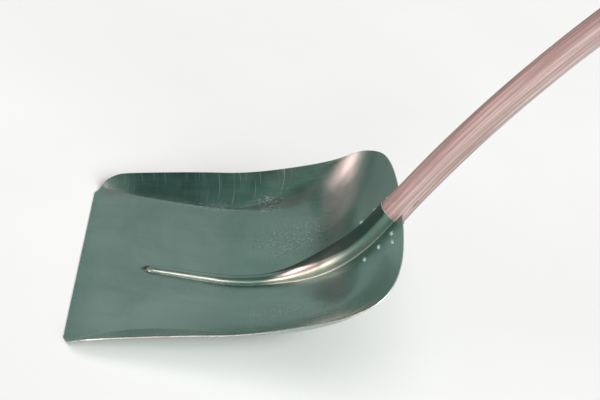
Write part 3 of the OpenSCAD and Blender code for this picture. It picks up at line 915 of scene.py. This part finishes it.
def build_rivet(node, d, y):
    """A hammered rivet: a dome with its top flattened by a random amount, a shank and a flatter tail."""
    low, squash = RNG.uniform(0.0, 0.25), RNG.uniform(-0.02, 0.02)
    turn = RNG.uniform(0, 6.28)
    under_r, lower_z = DOME_R - 0.04, -2 * SHEET
    upper = [(r, min(z, DOME_FLAT - low)) for r, z in cap(DOME_R, DOME_HIGH, 11, 0.0, 1)]
    lower = cap(DOME_R, TAIL_HIGH, 9, lower_z, -1)[::-1]
    shank = [(under_r, 0.0), (SHANK_R, 0.0), (SHANK_R, lower_z), (under_r, lower_z)]

    def wobble(angle):
        return squash * math.cos(2 * angle + turn) - abs(squash)

    points, faces = lathe(upper + shank + lower[1:], 40, wobble)
    seam = seam_field(points, DOME_R - 0.41, 0.4, 0.8)
    piece = make_object(node + "_dome", placed_points(points, d, y), faces, fields={"seam": seam})
    piece.data.materials.append(RIVET_STEEL)
    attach(piece, "root")
    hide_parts(node)


def apply_boolean(piece, cutter):
    mod = piece.modifiers.new("slot", "BOOLEAN")
    mod.operation, mod.object, mod.solver = "DIFFERENCE", cutter, "EXACT"
    bpy.context.view_layer.update()
    done = bpy.data.meshes.new_from_object(piece.evaluated_get(bpy.context.evaluated_depsgraph_get()))
    piece.modifiers.clear()
    old = piece.data
    piece.data = done
    bpy.data.meshes.remove(old)
    bpy.data.objects.remove(cutter)


def cut_slot(piece):
    """Cuts the driver slot across the screw's head."""
    turn, half_length, half_width, deepest = 0.6, 6, 0.55, -1.25
    corners = np.array([(x, y, z) for z in (-4.0, deepest) for y in (-half_width, half_width)
                        for x in (-half_length, half_length)], float)
    c, s = math.cos(turn), math.sin(turn)
    corners = np.stack([corners[:, 0] * c - corners[:, 1] * s, corners[:, 0] * s + corners[:, 1] * c,
                        corners[:, 2]], -1)
    sides = [(0, 2, 3, 1), (4, 5, 7, 6), (0, 1, 5, 4), (2, 6, 7, 3), (0, 4, 6, 2), (1, 3, 7, 5)]
    apply_boolean(piece, make_object("slot_cutter", corners, sides, smooth_faces=False))


def build_screw():
    """The wood screw, made upright about its own head, then moved to its place in the strap."""
    shank = [(SCREW_R - 0.05, 0.05), (2.2, 0.1), (2.2, 16.0), (1.4, 20.0), (0.0, 22.5)]
    points, faces = lathe(cap(SCREW_R, SCREW_HIGH, 12, 0.0, -1) + shank, 48)
    seam = seam_field(points, SCREW_R - 0.55, 0.5, 0.6)
    piece = make_object("strap_screw", points, faces, fields={"seam": seam})
    cut_slot(piece)
    co = np.zeros(len(piece.data.vertices) * 3)
    piece.data.vertices.foreach_get("co", co)
    local = co.reshape(-1, 3) / MM - ORIGIN
    local[:, 2] -= HANDLE_R + SHEET
    piece.data.vertices.foreach_set("co", to_row(placed_points(local, SCREW_D, 0)).ravel())
    piece.data.update()
    piece.data.materials.clear()
    piece.data.materials.append(SCREW_STEEL)
    piece.data.set_sharp_from_angle(angle=math.radians(40))
    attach(piece, "root")
    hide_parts("handle_screw")


build_blade()
build_strap()
build_handle()
for side, places in RIVETS.items():
    for i, (d, y) in enumerate(places):
        build_rivet(f"rivet_{side}_{i + 1}", d, y)
build_screw()

# ------------------------------------------------------------------ floor, lights and camera
bpy.ops.mesh.primitive_plane_add(size=60)
floor = bpy.context.object
floor.name = "studio_floor"
floor.data.materials.append(floor_material())

pieces = bpy.data.collections.new("lit_pieces")
for obj in bpy.context.scene.objects:
    if obj.type == "MESH" and obj is not floor:
        pieces.objects.link(obj)
AIM = Vector(((blade_lo.x + blade_hi.x) / 2, 0, 0.06))


def area_light(name, azimuth, elevation, distance, width, height, radiance, colour, tilt=0.0):
    """A soft panel seen from the blade at that azimuth (from -Y towards +X) and elevation."""
    az, el = math.radians(azimuth), math.radians(elevation)
    way = Vector((math.sin(az) * math.cos(el), -math.cos(az) * math.cos(el), math.sin(el)))
    data = bpy.data.lights.new(name, "AREA")
    data.shape, data.size, data.size_y = "RECTANGLE", width, height
    data.energy = radiance * math.pi * width * height
    data.color = colour
    light = bpy.data.objects.new(name, data)
    light.location = AIM + way * distance
    light.rotation_mode = "QUATERNION"
    roll = Matrix.Rotation(math.radians(tilt), 4, "Z").to_quaternion()
    light.rotation_quaternion = way.to_track_quat("Z", "Y") @ roll
    bpy.context.scene.collection.objects.link(light)
    light.light_linking.receiver_collection = pieces


def sun_light(name, energy, spread, colour, way=None):
    """A soft sun, spread degrees wide, from straight above or from that way."""
    light = bpy.data.objects.new(name, bpy.data.lights.new(name, "SUN"))
    light.data.energy, light.data.angle, light.data.color = energy, math.radians(spread), colour
    if way:
        light.rotation_mode = "QUATERNION"
        light.rotation_quaternion = Vector(way).to_track_quat("Z", "Y")
    bpy.context.scene.collection.objects.link(light)
    return light


# Azimuth, elevation and radiance of the window's panes, which all have one size and colour
WINDOWS = ((-72, 33, 6.6), (-91, 33, 8.0), (-111, 24, 3.0), (-131, 13, 1.0))
for azimuth, elevation, radiance in WINDOWS:
    area_light(f"window_{-azimuth}", azimuth, elevation, 2.6, 0.95, 0.46, radiance, (1.0, 0.53, 0.55), 12)
area_light("tall_strip", -30, 13, 2.4, 1.10, 1.10, 7.0, (1.0, 0.64, 0.58), -28)
area_light("front_lamp", 2, 34, 2.2, 0.46, 0.70, 6.5, (1.0, 0.66, 0.62))
area_light("rear_sky", 173, 50, 3.2, 5.4, 3.4, 0.37, (0.97, 1.0, 0.99))
area_light("rear_low", 178, 9, 3.0, 3.4, 1.5, 0.37, (0.95, 1.0, 0.99))
sun_light("soft_fill", 3.1, 40, (1.0, 0.985, 0.975), (0.49, -0.64, 0.59))

# The panels light the pieces only, and this white wash from above lights the floor only
ground = bpy.data.collections.new("lit_floor")
ground.objects.link(floor)
sun_light("floor_wash", 1.1, 60, (1.0, 1.0, 1.0)).light_linking.receiver_collection = ground

world = bpy.data.worlds.new("studio")
world.use_nodes = True
tree = world.node_tree
# The camera sees a pale background, while the pieces are lit and mirrored by a darker one
lit_by, seen = (0.12, 0.13, 0.128), (0.80, 0.80, 0.795)
colour = blend(tree, nd(tree, "ShaderNodeLightPath"), lit_by, seen)
tree.links.new(colour, tree.nodes["Background"].inputs[0])
bpy.context.scene.world = world
bpy.context.scene.view_settings.view_transform = "Standard"

# The camera stands off from a point over the blade along its own right, up and back directions, in mm
CAM_AZ, CAM_EL, CAM_ROLL = (math.radians(v) for v in (-7.7125, 32.8663, 13.2538))
CAM_POINT, CAM_SIDE, CAM_UP, CAM_BACK = np.array([200.0, 0.0, 40.0]), 87.541, 77.213, 1782.366
LENS, SENSOR = 80.65812, 36.0
back = np.array([math.sin(CAM_AZ) * math.cos(CAM_EL), -math.cos(CAM_AZ) * math.cos(CAM_EL), math.sin(CAM_EL)])
level = np.array([math.cos(CAM_AZ), math.sin(CAM_AZ), 0.0])
steep = np.cross(back, level)
right = level * math.cos(CAM_ROLL) + steep * math.sin(CAM_ROLL)
up = -level * math.sin(CAM_ROLL) + steep * math.cos(CAM_ROLL)
eye = CAM_POINT + right * CAM_SIDE + up * CAM_UP + back * CAM_BACK
cam = bpy.data.objects.new("camera", bpy.data.cameras.new("camera"))
cam.data.sensor_width, cam.data.lens = SENSOR, LENS
cam.data.clip_start, cam.data.clip_end = 0.05, 200
cam.location = Vector(to_row(eye))
cam.rotation_mode = "QUATERNION"
cam.rotation_quaternion = Matrix(np.stack([right, up, back], 1).tolist()).to_quaternion()
bpy.context.scene.collection.objects.link(cam)
bpy.context.scene.camera = cam
